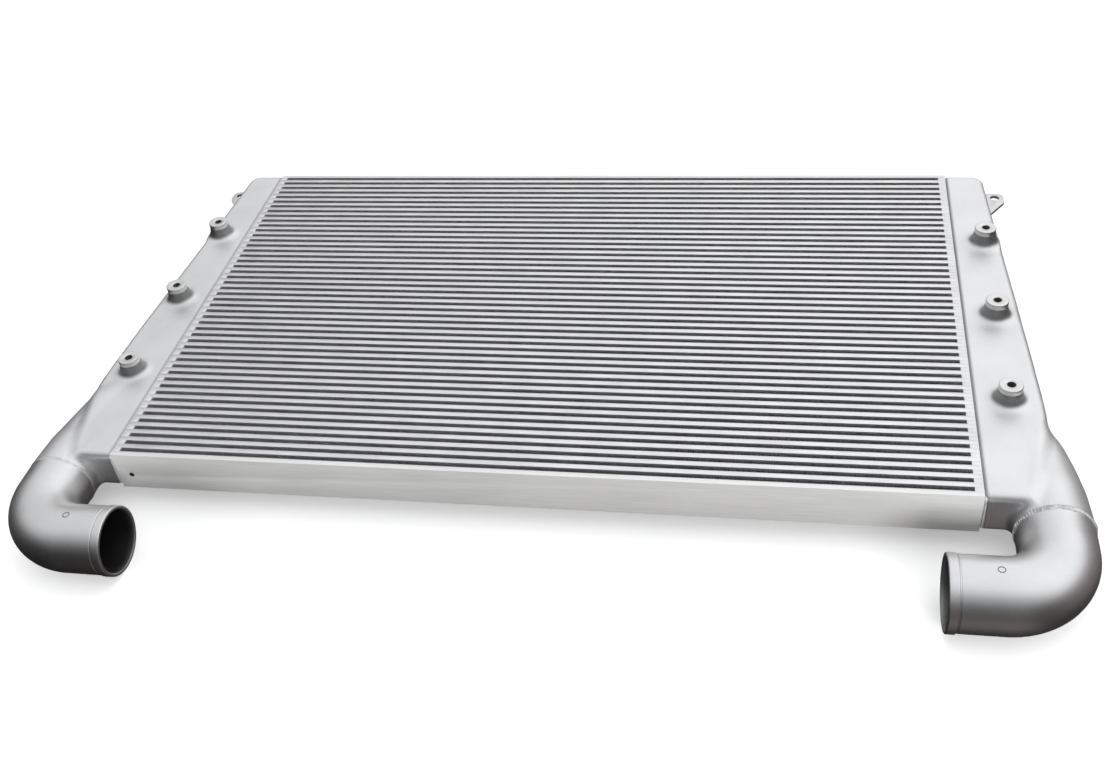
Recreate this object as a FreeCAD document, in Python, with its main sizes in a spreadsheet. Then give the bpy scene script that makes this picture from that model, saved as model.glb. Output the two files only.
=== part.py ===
import FreeCAD, Part
import os
import Sketcher

# Bar-and-plate cooler with a cast side tank and a hose elbow at each end.
#
# The frame: X runs from the left tank to the right tank, and the two halves mirror each other about X = 0.
# Y runs from the hose elbows (-Y) to the far side plate (+Y), across the stack of passages.
# Z is the normal of the core's faces, the way the air blows. The origin is the centre of the bounding
# box at its lowest point, which is the underside of the two hose collars.

Vector = FreeCAD.Vector

# Driving dimensions in millimetres, by group. Each becomes a named cell of the sheet.
DIMENSIONS = {
    "Core stack": {
        "passage_count": 48,
        "passage_gap": 7.0,
        "bar_thickness": 6.4,
        "sheet_thickness": 0.5,
        "plate_thickness": 7.0,
        "core_depth": 60.0,
        "fin_length": 1086.0,
        "end_bar_width": 10.5,
        "tube_bar_width": 8.0,
        "fin_recess": 1.0,
    },
    "Blind hole in the near side plate": {
        "plate_hole_radius": 3.5,
        "plate_hole_depth": 5.0,
        "plate_hole_inset": 19.5,
        "plate_hole_below_middle": 6.0,
    },
    "Side tank": {
        "tank_wall": 5.0,
        "tank_near_land": 40.0,
        "tank_shoulder_width": 66.0,
        "tank_shoulder_y": 50.0,
        "tank_throat_width": 76.0,
        "tank_throat_y": 105.0,
        "tank_wide_width": 86.0,
        "tank_wide_y": 144.0,
        "tank_middle_width": 78.0,
        "tank_middle_y": 320.0,
        "tank_far_width": 56.0,
        "tank_edge_round": 6.0,
        "tank_corner_round": 18.0,
    },
    "Round outlet of a tank, at five places between the seam and where it dies out in the tank": {
        "swell_y": 34.0,
        "swell_x": 79.5,
        "swell_drop": 14.0,
        "swell_radius": 43.2,
        "neck_y": 58.0,
        "neck_x": 79.0,
        "neck_drop": 16.0,
        "neck_radius": 40.5,
        "throat_y": 92.0,
        "throat_x": 75.5,
        "throat_drop": 15.0,
        "throat_radius": 36.5,
        "fade_y": 118.0,
        "fade_x": 69.0,
        "fade_drop": 8.0,
        "fade_radius": 33.0,
        "end_y": 154.0,
        "end_x": 53.0,
        "end_drop": 0.0,
        "end_radius": 29.5,
    },
    "Hose elbow": {
        "pipe_radius": 44.45,
        "pipe_wall": 3.2,
        "pipe_drop": 13.4,
        "elbow_offset": 80.5,
        "seam_gap": 11.7,
        "inlet_straight": 33.5,
        "bend_radius": 65.0,
        "outlet_straight": 63.5,
        "collar_radius": 45.65,
        "collar_length": 9.0,
        "collar_taper": 2.0,
    },
    "Mounting bosses": {
        "boss_offset": 42.5,
        "boss_first_y": 170.0,
        "boss_pitch": 173.0,
        "boss_height": 25.5,
        "boss_radius": 14.8,
        "boss_foot_radius": 20.5,
        "boss_foot_height": 1.0,
        "boss_fillet": 5.0,
        "boss_edge": 1.0,
        "tap_radius": 5.1,
        "tap_depth": 20.0,
    },
    "Fixing lug": {
        "lug_thickness": 5.0,
        "lug_drop": 22.0,
        "lug_tip_x": 88.0,
        "lug_near_y": 618.0,
        "lug_tip_y": 657.0,
        "lug_far_y": 680.5,
        "lug_round": 11.0,
        "lug_hole_x": 74.5,
        "lug_hole_y": 668.0,
        "lug_hole_radius": 6.75,
    },
    "Weld beads": {
        "seam_bead_radius": 2.6,
        "seam_bead_sink": 1.5,
        "tank_bead_radius": 1.5,
    },
}

# The round outlet of a tank as circles, from the seam to where it dies out in the tank:
# y from the near face, x from the core's end, height above the core's middle, radius.
OUTLET_CIRCLES = [("seam", "-dims.seam_gap", "dims.elbow_offset", "-dims.pipe_drop", "dims.pipe_radius")]
for station in ("swell", "neck", "throat", "fade", "end"):
    cells = [f"dims.{station}_y", f"dims.{station}_x", f"-dims.{station}_drop", f"dims.{station}_radius"]
    OUTLET_CIRCLES.append((station, *cells))

# Lengths that follow from the driving dimensions.
PITCH = "(dims.passage_gap + 2*dims.sheet_thickness + dims.bar_thickness)"
CORE_HEIGHT = f"(dims.passage_count*{PITCH} - dims.bar_thickness + 2*dims.plate_thickness)"
CORE_LENGTH = "(dims.fin_length + 2*dims.end_bar_width)"
ELBOW_REACH = "(dims.seam_gap + dims.inlet_straight + dims.bend_radius + dims.collar_radius)"
CORE_END = f"({CORE_LENGTH}/2)"
NEAR_Y = f"(({ELBOW_REACH} - {CORE_HEIGHT} - dims.tank_bead_radius)/2)"
PIPE_Z = "dims.collar_radius"
MIDDLE_Z = f"({PIPE_Z} + dims.pipe_drop)"
BOTTOM_Z = f"({MIDDLE_Z} - dims.core_depth/2)"
TOP_Z = f"({MIDDLE_Z} + dims.core_depth/2)"
FIRST_PASSAGE_Y = f"({NEAR_Y} + dims.plate_thickness + dims.sheet_thickness)"
FIRST_TUBE_Y = f"({FIRST_PASSAGE_Y} + dims.passage_gap + dims.sheet_thickness)"
ELBOW_X = f"({CORE_END} + dims.elbow_offset)"
SEAM_Y = f"({NEAR_Y} - dims.seam_gap)"
BEND_Y = f"({SEAM_Y} - dims.inlet_straight)"
OUTLET_Y = f"({BEND_Y} - dims.bend_radius)"
OUTLET_X = f"({ELBOW_X} - dims.bend_radius)"
MOUTH_X = f"({OUTLET_X} - dims.outlet_straight)"

TO_PLUS_Y = FreeCAD.Rotation(Vector(1, 0, 0), -90)
TO_MINUS_X = FreeCAD.Rotation(Vector(0, 1, 0), -90)

doc = FreeCAD.newDocument("Cooler")
pieces = []


def fill_sheet():
    """Writes the driving dimensions to the sheet, one named cell each, under their group's title."""
    sheet = doc.addObject("Spreadsheet::Sheet", "dims")
    row = 1
    for group, cells in DIMENSIONS.items():
        sheet.set(f"A{row}", group)
        row += 1
        for alias, value in cells.items():
            sheet.set(f"A{row}", alias)
            sheet.set(f"B{row}", str(value))
            sheet.setAlias(f"B{row}", alias)
            row += 1
    doc.recompute()


def bind(thing, **sizes):
    """Binds properties to expressions; a double underscore in a name stands for a dot."""
    for name, expression in sizes.items():
        thing.setExpression(name.replace("__", "."), str(expression))


def place(thing, x="0", y="0", z="0"):
    bind(thing, Placement__Base__x=x, Placement__Base__y=y, Placement__Base__z=z)


def keep(thing, label):
    """Names a finished sub-part, whose file takes the same name."""
    thing.Label = label
    pieces.append(thing)
    return thing


def new_body(label):
    body = doc.addObject("PartDesign::Body", label + "_body")
    body.AllowCompound = True
    return keep(body, label)


def origin_feature(body, role):
    return next(feature for feature in body.Origin.OriginFeatures if feature.Role == role)


def new_sketch(body, name, role, offset="0"):
    """A sketch on one of the body's own origin planes, moved by offset along the plane's normal."""
    sketch = body.newObject("Sketcher::SketchObject", name)
    sketch.AttachmentSupport = [(origin_feature(body, role), "")]
    sketch.MapMode = "FlatFace"
    bind(sketch, AttachmentOffset__Base__z=offset)
    return sketch


def fix_point(sketch, line, end, x, y):
    """Ties a point to the sketch's origin by two expressions."""
    for kind, expression in (("DistanceX", x), ("DistanceY", y)):
        value = float(sketch.evalExpression(str(expression)))
        index = sketch.addConstraint(Sketcher.Constraint(kind, -1, 1, line, end, value))
        sketch.setExpression(f"Constraints[{index}]", str(expression))


def draw_polygon(sketch, corners):
    """A closed polygon whose corners are pairs of expressions."""
    points = [Vector(*(float(sketch.evalExpression(str(e))) for e in corner)) for corner in corners]
    count = len(points)
    lines = [
        sketch.addGeometry(Part.LineSegment(points[i], points[(i + 1) % count])) for i in range(count)
    ]
    for i, line in enumerate(lines):
        sketch.addConstraint(Sketcher.Constraint("Coincident", line, 2, lines[(i + 1) % count], 1))
    for line, corner in zip(lines, corners):
        fix_point(sketch, line, 1, *corner)


def draw_circle(sketch, x, y, radius):
    centre = Vector(*(float(sketch.evalExpression(str(e))) for e in (x, y)))
    size = float(sketch.evalExpression(str(radius)))
    circle = sketch.addGeometry(Part.Circle(centre, Vector(0, 0, 1), size))
    index = sketch.addConstraint(Sketcher.Constraint("Radius", circle, size))
    sketch.setExpression(f"Constraints[{index}]", str(radius))
    fix_point(sketch, circle, 3, x, y)


def pad(body, name, sketch, length):
    feature = body.newObject("PartDesign::Pad", name)
    feature.Profile = sketch
    bind(feature, Length=length)
    feature.Midplane = True
    return feature


def cut_has_effect(body, feature):
    """Recomputes, and makes sure that a cutting feature took something away."""
    before = feature.BaseFeature.Shape.Volume
    doc.recompute()
    if not feature.Shape.Volume < before - 1:
        raise RuntimeError(f"{body.Label}: {feature.Name} cuts nothing")


def fillet(body, name, base, radius, wanted):
    """Rounds the base feature's edges that the wanted test picks."""
    doc.recompute()
    edges = [f"Edge{i}" for i, edge in enumerate(base.Shape.Edges, 1) if wanted(edge)]
    feature = body.newObject("PartDesign::Fillet", name)
    feature.Base = (base, edges)
    bind(feature, Radius=radius)
    return feature


def number(expression):
    return float(doc.getObject("dims").evalExpression(str(expression)))


def bar_row(label, count, size, corner, seconds=()):
    """A row of equal bars, one passage pitch apart along Y. seconds are further bars of each pitch,
    as offsets along Y or Z from the first one."""
    body = new_body(label)
    bars = []
    for i, (along_y, along_z) in enumerate([("0", "0"), *seconds]):
        bar = body.newObject("PartDesign::AdditiveBox", f"{label}_bar_{i}")
        bind(bar, Length=size[0], Width=size[1], Height=size[2])
        bind(bar, AttachmentOffset__Base__y=along_y, AttachmentOffset__Base__z=along_z)
        bar.AttachmentSupport = [(origin_feature(body, "XY_Plane"), "")]
        bar.MapMode = "FlatFace"
        bars.append(bar)
    doc.recompute()
    row = body.newObject("PartDesign::LinearPattern", label + "_row")
    row.Originals = bars
    row.Direction = (origin_feature(body, "Y_Axis"), [""])
    row.Mode = "Spacing"
    bind(row, Offset=PITCH, Occurrences=count)
    body.Tip = row
    place(body, *corner)


def core():
    """The brazed stack: side plates, bars, parting sheets, air fins and turbulators."""
    left_end = f"(-{CORE_END})"
    inner_depth = "(dims.core_depth - 2*dims.tube_bar_width)"
    tubes = "(dims.passage_count - 1)"
    tube_bar = (CORE_LENGTH, "dims.bar_thickness", "dims.tube_bar_width")
    bar_row("tube_bars_top", tubes, tube_bar, (left_end, FIRST_TUBE_Y, f"{TOP_Z} - dims.tube_bar_width"))
    bar_row("tube_bars_bottom", tubes, tube_bar, (left_end, FIRST_TUBE_Y, BOTTOM_Z))
    end_bar = ("dims.end_bar_width", "dims.passage_gap", "dims.core_depth")
    for side, start in (("left", left_end), ("right", "dims.fin_length/2")):
        bar_row(f"end_bars_{side}", "dims.passage_count", end_bar, (start, FIRST_PASSAGE_Y, BOTTOM_Z))
    sheet = (CORE_LENGTH, "dims.sheet_thickness", "dims.core_depth")
    sheet_corner = (left_end, f"{FIRST_PASSAGE_Y} - dims.sheet_thickness", BOTTOM_Z)
    across = "dims.passage_gap + dims.sheet_thickness"
    bar_row("parting_sheets", "dims.passage_count", sheet, sheet_corner, [(across, "0")])
    fin = ("dims.fin_length", "dims.passage_gap", "dims.core_depth - 2*dims.fin_recess")
    fin_corner = ("-dims.fin_length/2", FIRST_PASSAGE_Y, f"{BOTTOM_Z} + dims.fin_recess")
    bar_row("air_fins", "dims.passage_count", fin, fin_corner)
    turbulator = (CORE_LENGTH, "dims.bar_thickness", inner_depth)
    turbulator_corner = (left_end, FIRST_TUBE_Y, f"{BOTTOM_Z} + dims.tube_bar_width")
    bar_row("turbulators", tubes, turbulator, turbulator_corner)


def side_plates():
    """The near plate has a small blind hole in its outer face, close to the left tank."""
    for label, y in (
        ("near_side_plate", NEAR_Y),
        ("far_side_plate", f"{NEAR_Y} + {CORE_HEIGHT} - dims.plate_thickness"),
    ):
        body = new_body(label)
        slab = body.newObject("PartDesign::AdditiveBox", label + "_slab")
        bind(slab, Length=CORE_LENGTH, Width="dims.plate_thickness", Height="dims.core_depth")
        if label == "near_side_plate":
            sketch = new_sketch(body, "plate_hole", "XZ_Plane")
            hole_z = "dims.core_depth/2 - dims.plate_hole_below_middle"
            draw_circle(sketch, "dims.plate_hole_inset", hole_z, "dims.plate_hole_radius")
            doc.recompute()
            pocket = body.newObject("PartDesign::Pocket", "plate_hole_pocket")
            pocket.Profile = sketch
            bind(pocket, Length="dims.plate_hole_depth")
            cut_has_effect(body, pocket)
        place(body, f"(-{CORE_END})", y, BOTTOM_Z)


def tank_plan(inset):
    """The tank seen from above, inset by a wall: x from the core's end, y from the near face."""
    return [
        (f"-{inset}", f"{inset}"),
        (f"dims.tank_near_land - {inset}", f"{inset}"),
        (f"dims.tank_shoulder_width - {inset}", "dims.tank_shoulder_y"),
        (f"dims.tank_throat_width - {inset}", "dims.tank_throat_y"),
        (f"dims.tank_wide_width - {inset}", "dims.tank_wide_y"),
        (f"dims.tank_middle_width - {inset}", "dims.tank_middle_y"),
        (f"dims.tank_far_width - {inset}", f"{CORE_HEIGHT} - {inset}"),
        (f"-{inset}", f"{CORE_HEIGHT} - {inset}"),
    ]


def outer_wall_at(y):
    """How far a tank's outer wall stands from the core's end, beyond the wall's bend."""
    taper = f"(dims.tank_middle_width - dims.tank_far_width)/({CORE_HEIGHT} - dims.tank_middle_y)"
    return f"(dims.tank_middle_width - ({y} - dims.tank_middle_y)*{taper})"


def outlet_loft(body, kind, name, shrink):
    """The round outlet, or its bore when shrink is the wall."""
    sketches = []
    for station, y, x, z, radius in OUTLET_CIRCLES:
        sketch = new_sketch(body, f"{name}_{station}", "XZ_Plane", f"-({y})")
        draw_circle(sketch, x, z, f"{radius} - {shrink}")
        sketches.append(sketch)
    doc.recompute()
    feature = body.newObject(kind, name)
    feature.Profile = sketches[0]
    feature.Sections = sketches[1:]
    return feature


def right_tank():
    """A hollow casting, open to the core along its flat side and to the elbow at its round outlet."""
    body = new_body("right_tank")
    outline = new_sketch(body, "tank_outline", "XY_Plane")
    draw_polygon(outline, tank_plan("0"))
    block = pad(body, "tank_block", outline, "dims.core_depth")
    far_y = number(CORE_HEIGHT)

    def is_far_corner(edge):
        low = edge.BoundBox
        return low.ZLength > 1 and low.XMin > 1 and abs(low.YMin - far_y) < 0.01

    corner = fillet(body, "tank_corner", block, "dims.tank_corner_round", is_far_corner)

    def is_outer_rim(edge):
        box = edge.BoundBox
        on_core_side = box.XMax < 0.01
        on_end = box.YLength < 0.01
        return box.ZLength < 0.01 and not on_core_side and not on_end

    fillet(body, "tank_rim", corner, "dims.tank_edge_round", is_outer_rim)
    doc.recompute()
    outlet_loft(body, "PartDesign::AdditiveLoft", "outlet", "0")
    doc.recompute()
    cavity_plan = new_sketch(body, "tank_cavity_plan", "XY_Plane")
    draw_polygon(cavity_plan, tank_plan("dims.tank_wall"))
    cavity = body.newObject("PartDesign::Pocket", "tank_cavity")
    cavity.Profile = cavity_plan
    bind(cavity, Length="dims.core_depth - 2*dims.tank_wall")
    cavity.Midplane = True
    cut_has_effect(body, cavity)
    bore = outlet_loft(body, "PartDesign::SubtractiveLoft", "outlet_bore", "dims.tank_wall")
    cut_has_effect(body, bore)
    place(body, CORE_END, NEAR_Y, MIDDLE_Z)
    return body


def cylinder(name, radius, length, corner, rotation):
    made = doc.addObject("Part::Cylinder", name)
    bind(made, Radius=radius, Height=length)
    made.Placement.Rotation = rotation
    place(made, *corner)
    return made


def elbow_run(name, radius):
    """A solid rod that follows the elbow: straight from the seam, a quarter bend, straight to the mouth."""
    bend_end = (ELBOW_X, BEND_Y, PIPE_Z)
    inlet = cylinder(name + "_inlet", radius, "dims.inlet_straight", bend_end, TO_PLUS_Y)
    bend = doc.addObject("Part::Torus", name + "_bend")
    bind(bend, Radius1="dims.bend_radius", Radius2=radius)
    bend.Angle3 = 90
    bend.Placement.Rotation = FreeCAD.Rotation(Vector(0, 0, 1), -90)
    place(bend, OUTLET_X, BEND_Y, PIPE_Z)
    outlet_start = (OUTLET_X, OUTLET_Y, PIPE_Z)
    outlet = cylinder(name + "_outlet", radius, "dims.outlet_straight", outlet_start, TO_MINUS_X)
    return [inlet, bend, outlet]


def fuse(name, parts):
    made = doc.addObject("Part::MultiFuse", name)
    made.Shapes = parts
    return made


def cut(name, base, tool):
    made = doc.addObject("Part::Cut", name)
    made.Base = base
    made.Tool = tool
    return made


def right_elbow():
    """A quarter-turn pipe with a raised hose collar at its mouth."""
    collar_end = f"({MOUTH_X} + dims.collar_length)"
    collar_start = (collar_end, OUTLET_Y, PIPE_Z)
    collar = cylinder("collar", "dims.collar_radius", "dims.collar_length", collar_start, TO_MINUS_X)
    taper = doc.addObject("Part::Cone", "collar_taper_cone")
    bind(taper, Radius1="dims.pipe_radius", Radius2="dims.collar_radius", Height="dims.collar_taper")
    taper.Placement.Rotation = TO_MINUS_X
    place(taper, f"{collar_end} + dims.collar_taper", OUTLET_Y, PIPE_Z)
    outside = fuse("elbow_outside", [*elbow_run("pipe", "dims.pipe_radius"), collar, taper])
    bore = fuse("elbow_bore", elbow_run("bore", "dims.pipe_radius - dims.pipe_wall"))
    return keep(cut("elbow_right", outside, bore), "right_elbow")


def right_elbow_weld():
    """The weld bead round the seam between tank and elbow, proud of the pipe's surface only."""
    bead = doc.addObject("Part::Torus", "seam_bead")
    bind(bead, Radius1="dims.pipe_radius - dims.seam_bead_sink", Radius2="dims.seam_bead_radius")
    bead.Placement.Rotation = TO_PLUS_Y
    place(bead, ELBOW_X, SEAM_Y, PIPE_Z)
    width = "2*dims.seam_bead_radius"
    start = (ELBOW_X, f"{SEAM_Y} - dims.seam_bead_radius", PIPE_Z)
    inside = cylinder("seam_inside", "dims.pipe_radius", width, start, TO_PLUS_Y)
    return keep(cut("seam_weld", bead, inside), "right_elbow_weld")


def half_bead(name, length, corner, rotation):
    """A half-round fillet bead, whose flat side lies on the joint."""
    bead = cylinder(name, "dims.tank_bead_radius", length, corner, rotation)
    bead.Angle = 180
    return bead


def right_tank_weld():
    """The beads that close the joint between core and tank, on both faces and both ends."""
    far_y = f"{NEAR_Y} + {CORE_HEIGHT}"
    to_minus_y = FreeCAD.Rotation(Vector(1, 0, 0), 90)
    upright = FreeCAD.Rotation()
    half_turn = FreeCAD.Rotation(Vector(0, 0, 1), 180)
    along_y = [
        half_bead("bead_top", CORE_HEIGHT, (CORE_END, far_y, TOP_Z), to_minus_y),
        half_bead("bead_bottom", CORE_HEIGHT, (CORE_END, NEAR_Y, BOTTOM_Z), TO_PLUS_Y),
    ]
    along_z = [
        half_bead("bead_far", "dims.core_depth", (CORE_END, far_y, BOTTOM_Z), upright),
        half_bead("bead_near", "dims.core_depth", (CORE_END, NEAR_Y, BOTTOM_Z), half_turn),
    ]
    group = doc.addObject("Part::Compound", "tank_beads")
    group.Links = along_y + along_z
    return keep(group, "right_tank_weld")


def right_lug():
    """A flat ear with one hole, on the tank's outer wall near the far end."""
    body = new_body("right_lug")
    plan = new_sketch(body, "lug_plan", "XY_Plane")
    draw_polygon(
        plan,
        [
            (outer_wall_at("dims.lug_near_y"), "dims.lug_near_y"),
            ("dims.lug_tip_x", "dims.lug_tip_y"),
            ("dims.lug_tip_x", "dims.lug_far_y"),
            (outer_wall_at("dims.lug_far_y"), "dims.lug_far_y"),
        ],
    )
    plate = pad(body, "lug_plate", plan, "dims.lug_thickness")
    tip_x = number("dims.lug_tip_x")

    def is_tip(edge):
        return edge.BoundBox.ZLength > 1 and edge.BoundBox.XMin > tip_x - 0.01

    fillet(body, "lug_tip", plate, "dims.lug_round", is_tip)
    doc.recompute()
    hole = new_sketch(body, "lug_hole", "XY_Plane")
    draw_circle(hole, "dims.lug_hole_x", "dims.lug_hole_y", "dims.lug_hole_radius")
    pocket = body.newObject("PartDesign::Pocket", "lug_pocket")
    pocket.Profile = hole
    bind(pocket, Length="2*dims.lug_thickness")
    pocket.Midplane = True
    cut_has_effect(body, pocket)
    place(body, CORE_END, NEAR_Y, f"{TOP_Z} - dims.lug_drop - dims.lug_thickness/2")
    return body


def boss(label, side, y):
    """A round boss with a flared foot and a blind tapped hole, standing on a tank's top face."""
    body = new_body(label)
    profile = new_sketch(body, label + "_profile", "XZ_Plane")
    floor = "dims.boss_height - dims.tap_depth"
    draw_polygon(
        profile,
        [
            ("0", "0"),
            ("dims.boss_foot_radius", "0"),
            ("dims.boss_foot_radius", "dims.boss_foot_height"),
            ("dims.boss_radius", "dims.boss_foot_height"),
            ("dims.boss_radius", "dims.boss_height - dims.boss_edge"),
            ("dims.boss_radius - dims.boss_edge", "dims.boss_height"),
            ("dims.tap_radius + dims.boss_edge", "dims.boss_height"),
            ("dims.tap_radius", "dims.boss_height - dims.boss_edge"),
            ("dims.tap_radius", floor),
            ("0", floor),
        ],
    )
    turned = body.newObject("PartDesign::Revolution", label + "_turned")
    turned.Profile = profile
    turned.ReferenceAxis = (origin_feature(body, "Z_Axis"), [""])
    turned.Angle = 360
    shank_radius, foot_height = number("dims.boss_radius"), number("dims.boss_foot_height")

    def is_root(edge):
        box = edge.BoundBox
        level = abs(box.ZMin - foot_height) < 0.01 and box.ZLength < 0.01
        return level and abs(box.XMax - shank_radius) < 0.01

    fillet(body, label + "_flare", turned, "dims.boss_fillet", is_root)
    place(body, f"{side}*({CORE_END} + dims.boss_offset)", y, TOP_Z)


def bosses():
    for side, name in ((-1, "left"), (1, "right")):
        for i, where in enumerate(("front", "middle", "rear")):
            boss(f"{name}_boss_{where}", side, f"{NEAR_Y} + dims.boss_first_y + {i}*dims.boss_pitch")


def mirror(source, label):
    """The left-hand copy of a right-hand sub-part."""
    copy = doc.addObject("Part::Mirroring", label + "_mirror")
    copy.Source = source
    copy.Base = (0, 0, 0)
    copy.Normal = (1, 0, 0)
    keep(copy, label)


def check_and_write():
    """Stops on any failed object or bad shape, then writes one file for each sub-part."""
    doc.recompute()
    for thing in doc.Objects:
        if {"Invalid", "Error"} & set(thing.State):
            raise RuntimeError(f"{thing.Name} failed: {thing.State}")
    for piece in pieces:
        if piece.Shape.isNull() or not piece.Shape.isValid() or not piece.Shape.Solids:
            raise RuntimeError(f"{piece.Label} has no valid solid")
    os.makedirs("parts", exist_ok=True)
    for piece in pieces:
        piece.Shape.exportStep(f"parts/{piece.Label}.step")
        box = piece.Shape.BoundBox
        size = f"{box.XLength:.1f} x {box.YLength:.1f} x {box.ZLength:.1f}"
        print(f"{piece.Label}: {len(piece.Shape.Solids)} solids, {piece.Shape.Volume / 1000:.1f} cm3, {size}")


fill_sheet()
core()
side_plates()
mirror(right_tank(), "left_tank")
mirror(right_elbow(), "left_elbow")
mirror(right_elbow_weld(), "left_elbow_weld")
mirror(right_tank_weld(), "left_tank_weld")
mirror(right_lug(), "left_lug")
bosses()
check_and_write()
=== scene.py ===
import itertools
import math

import bmesh
import bpy
import numpy as np
from mathutils import Matrix, Vector


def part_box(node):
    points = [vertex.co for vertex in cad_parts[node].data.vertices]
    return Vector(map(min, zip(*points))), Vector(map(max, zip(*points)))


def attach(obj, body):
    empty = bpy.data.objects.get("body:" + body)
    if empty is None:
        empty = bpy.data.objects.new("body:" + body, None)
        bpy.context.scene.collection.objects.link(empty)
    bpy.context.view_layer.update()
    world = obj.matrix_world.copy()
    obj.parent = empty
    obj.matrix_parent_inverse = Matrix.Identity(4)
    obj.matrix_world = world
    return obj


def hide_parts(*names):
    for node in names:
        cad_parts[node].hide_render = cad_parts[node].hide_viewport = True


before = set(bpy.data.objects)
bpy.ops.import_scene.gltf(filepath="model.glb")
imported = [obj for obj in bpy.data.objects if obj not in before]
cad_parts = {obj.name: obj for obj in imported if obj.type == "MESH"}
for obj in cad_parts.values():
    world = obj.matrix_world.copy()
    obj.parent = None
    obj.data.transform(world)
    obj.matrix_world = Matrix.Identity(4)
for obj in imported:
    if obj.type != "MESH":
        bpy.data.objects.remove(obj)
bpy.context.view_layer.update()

# A bar-and-plate cooler: finned core, cast side tanks, hose elbows, tapped bosses, lugs and welds.
# The object's own lengths are millimetres and become metres where a mesh is made. The camera, the
# lights and the room are in metres.
MM = 0.001

# ---- Places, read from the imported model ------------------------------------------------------


def span(node, axis):
    """A CAD node's lowest and highest coordinate along an axis, in millimetres."""
    low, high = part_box(node)
    return low[axis] / MM, high[axis] / MM


X, Y, Z = 0, 1, 2
CORE_END = span("near_side_plate", X)[1]
NEAR_Y = span("near_side_plate", Y)[0]
FAR_Y = span("far_side_plate", Y)[1]
BOTTOM_Z, TOP_Z = span("near_side_plate", Z)
MIDDLE_Z = (BOTTOM_Z + TOP_Z) / 2
HALF_DEPTH = (TOP_Z - BOTTOM_Z) / 2
CORE_HEIGHT = FAR_Y - NEAR_Y

PASSAGES = 48
FIN_END = span("air_fins", X)[1]
FIRST_PASSAGE, LAST_PASSAGE = span("air_fins", Y)
SHEET = FIRST_PASSAGE - span("parting_sheets", Y)[0]
GAP = span("tube_bars_top", Y)[0] - FIRST_PASSAGE - SHEET
PITCH = (LAST_PASSAGE - GAP - FIRST_PASSAGE) / (PASSAGES - 1)

# The outlet's axis stands this far out from the core's end.
OUTLET_SIDE = 80.5
COLLAR_RADIUS = span("right_elbow", Z)[1] / 2
PIPE_RADIUS = span("right_elbow", X)[1] - (CORE_END + OUTLET_SIDE)
MOUTH_X = span("right_elbow", X)[0]
ELBOW_X = span("right_elbow", X)[1] - PIPE_RADIUS
SEAM_Y = span("right_elbow", Y)[1]
OUTLET_Y = span("right_elbow", Y)[0] + COLLAR_RADIUS
PIPE_Z = COLLAR_RADIUS
PIPE_WALL = 3.2
BEND_RADIUS = 65.0
BEND_Y = OUTLET_Y + BEND_RADIUS
SEAM_GAP = NEAR_Y - SEAM_Y

# The bosses' centres are measured from the core's end and from its near face.
BOSS_ROW = ("front", "middle", "rear")
BOSS_HEIGHT = span("right_boss_front", Z)[1] - TOP_Z
BOSS_RADIUS = 14.8
BOSS_X = sum(span("right_boss_front", X)) / 2 - CORE_END
BOSS_YS = [sum(span(f"right_boss_{where}", Y)) / 2 - NEAR_Y for where in BOSS_ROW]
# Each side's name, and the sign of X on it.
SIDES = (("right", 1), ("left", -1))

# ---- Small helpers ---------------------------------------------------------------------------


# Directions and phases of the waves that noise() adds up.
WAVES = [(1.0, 0.3, -0.5, 0.7), (-0.4, 1.1, 0.6, 2.1), (0.5, -0.7, 1.2, 4.0), (1.7, 1.3, 0.9, 5.3)]


def noise(points, scale, seed=0.0):
    """Smooth noise between -1 and 1 from summed sines, the same on every run."""
    p = np.asarray(points, float) / scale + seed
    total = np.zeros(p.shape[:-1])
    for k, (a, b, c, shift) in enumerate(WAVES):
        along = a * p[..., X] + b * p[..., Y] + c * p[..., Z]
        total += np.sin(2 * math.pi * along / (1 + 0.3 * k) + shift)
    return total / len(WAVES)


def unevenness(points, waves):
    """A casting's shallow waves, added up from the height, length and seed of each."""
    return sum(height * noise(points, length, seed) for height, length, seed in waves)


def set_tone(mesh, tone):
    """Stores a share of the base colour at each point, for a material that reads it."""
    mesh.attributes.new("tone", "FLOAT", "POINT").data.foreach_set("value", np.asarray(tone, float))


def make_piece(name, points, faces, slot, smooth=True, sharp_angle=None, tone=None):
    """A mesh piece from points in millimetres, with a tone for each point if its slot reads one."""
    mesh = bpy.data.meshes.new(name)
    mesh.from_pydata((np.asarray(points, float) * MM).tolist(), [], [list(map(int, f)) for f in faces])
    mesh.validate()
    if tone is not None:
        set_tone(mesh, tone)
    piece = bpy.data.objects.new(name, mesh)
    bpy.context.scene.collection.objects.link(piece)
    finish_piece(piece, slot, smooth, sharp_angle)
    return piece


def finish_piece(piece, slot, smooth=True, sharp_angle=None):
    """Shades a piece, gives it its slot's material and lets it ride on the one rigid body."""
    mesh = piece.data
    if "tone" not in mesh.attributes:
        set_tone(mesh, np.ones(len(mesh.vertices)))
    mesh.polygons.foreach_set("use_smooth", [smooth] * len(mesh.polygons))
    if smooth and sharp_angle:
        mesh.set_sharp_from_angle(angle=math.radians(sharp_angle))
    mesh.materials.clear()
    mesh.materials.append(MATERIALS[slot])
    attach(piece, "root")


def mirrored(points, faces, side):
    """The points and faces of a right-hand piece, or of its left-hand twin when side is -1."""
    points = np.array(points, float)
    if side < 0:
        points[:, X] *= -1
        faces = [tuple(reversed(face)) for face in faces]
    return points, faces


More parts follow.
